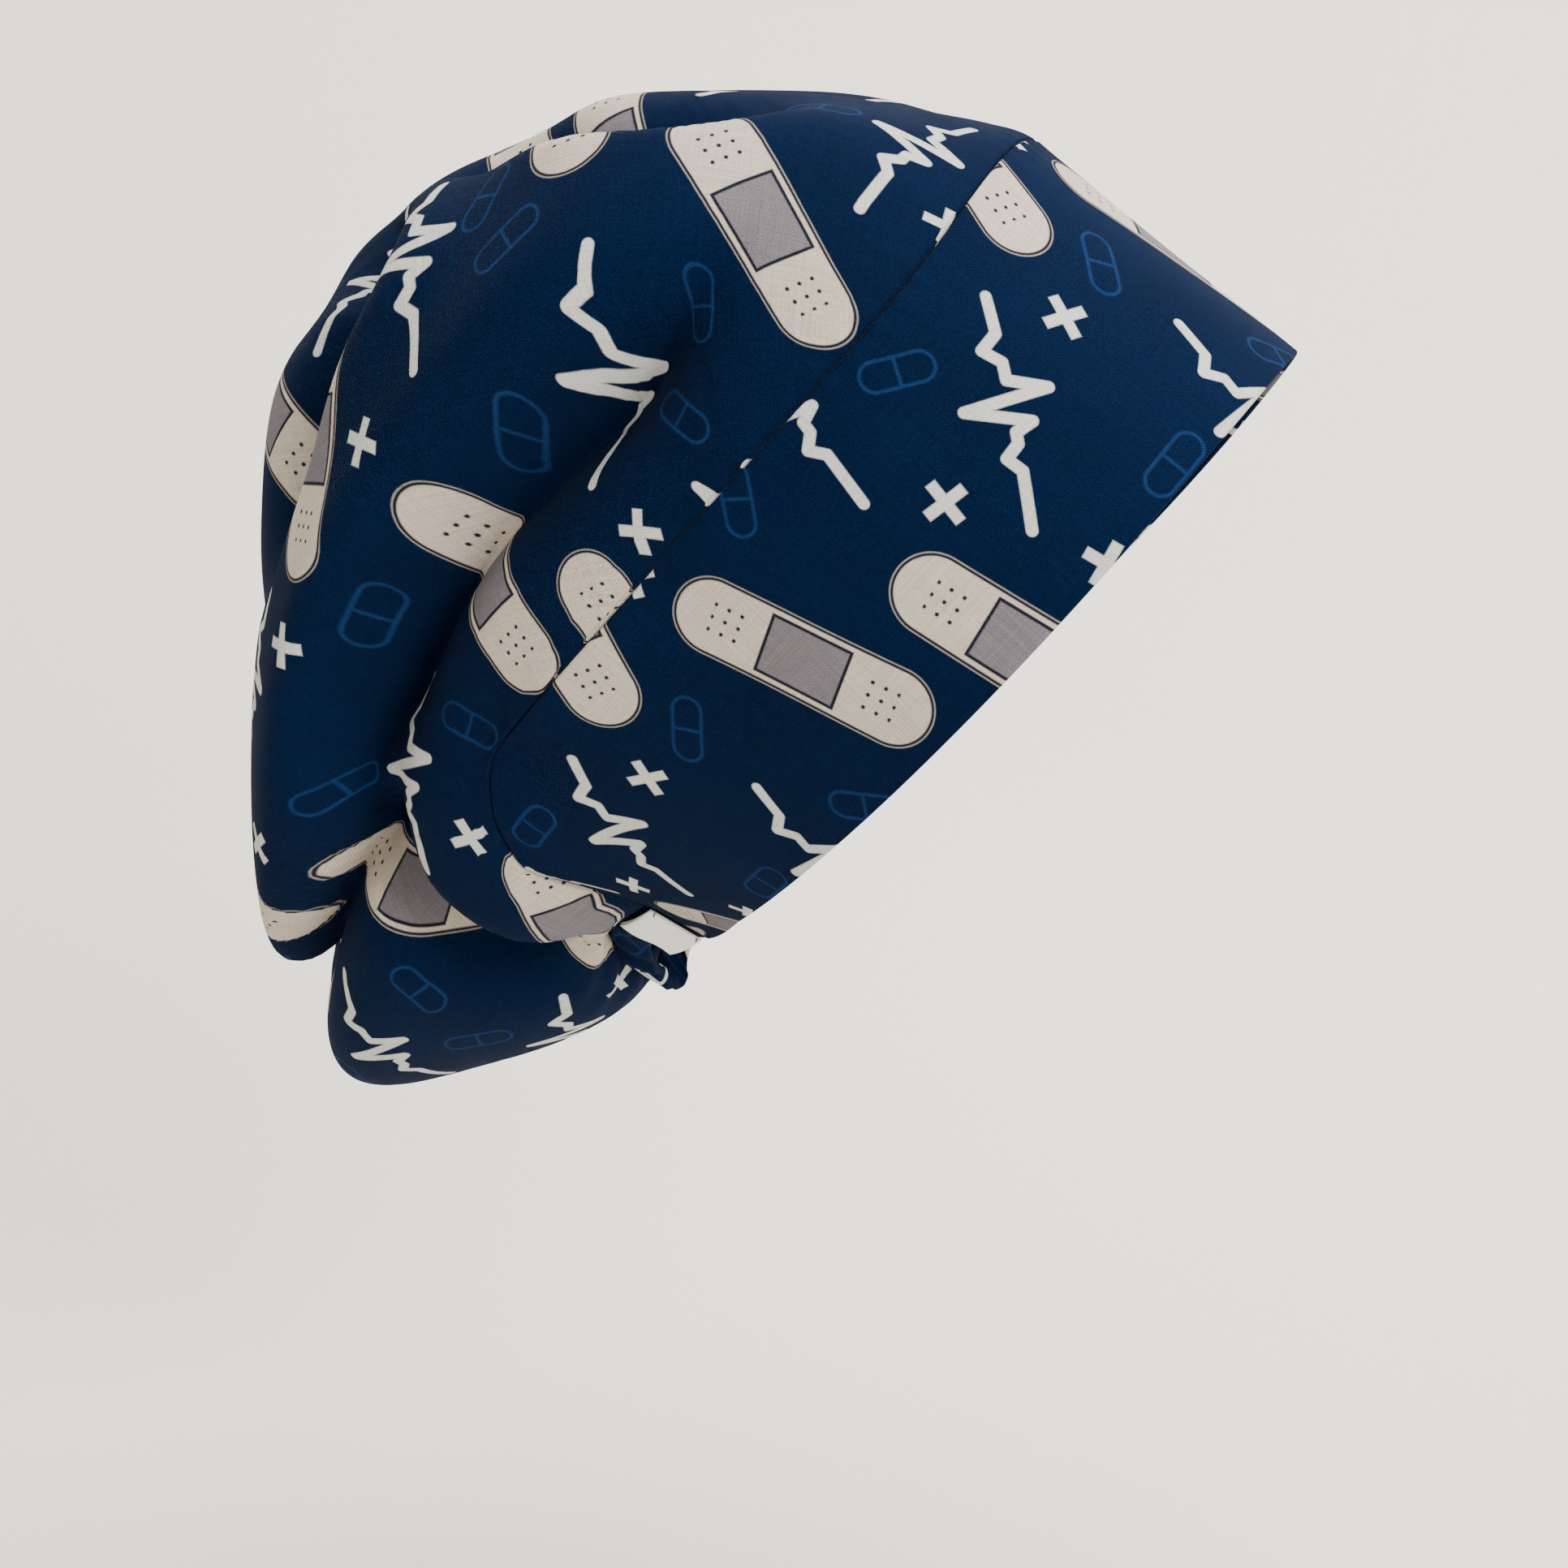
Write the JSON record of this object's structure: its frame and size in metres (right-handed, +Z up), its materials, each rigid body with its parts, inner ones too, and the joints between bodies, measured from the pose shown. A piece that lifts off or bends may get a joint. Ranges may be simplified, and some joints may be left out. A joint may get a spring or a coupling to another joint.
{
  "type": "scrub cap",
  "caption": "Slouched cloth scrub cap with a smooth band, a full crown sagging behind, an elastic nape casing and a small folded side tag.",
  "frame": {"origin": "middle of the head opening, at the cap's lower edge", "axes": "+X is the wearer's forwards, +Y is the wearer's left, +Z is up, with the opening's plane rising 48.5 degrees towards the forehead"},
  "size_m": [0.2639, 0.1733, 0.2772],
  "materials": {
    "print_cloth": "matt plain-weave cotton, printed",
    "tag_ribbon": "matt woven ribbon"
  },
  "bodies": {
    "root": {"crown": "print_cloth", "front_band": "print_cloth", "nape_casing": "print_cloth", "side_tag": "tag_ribbon"}
  },
  "joints": []
}
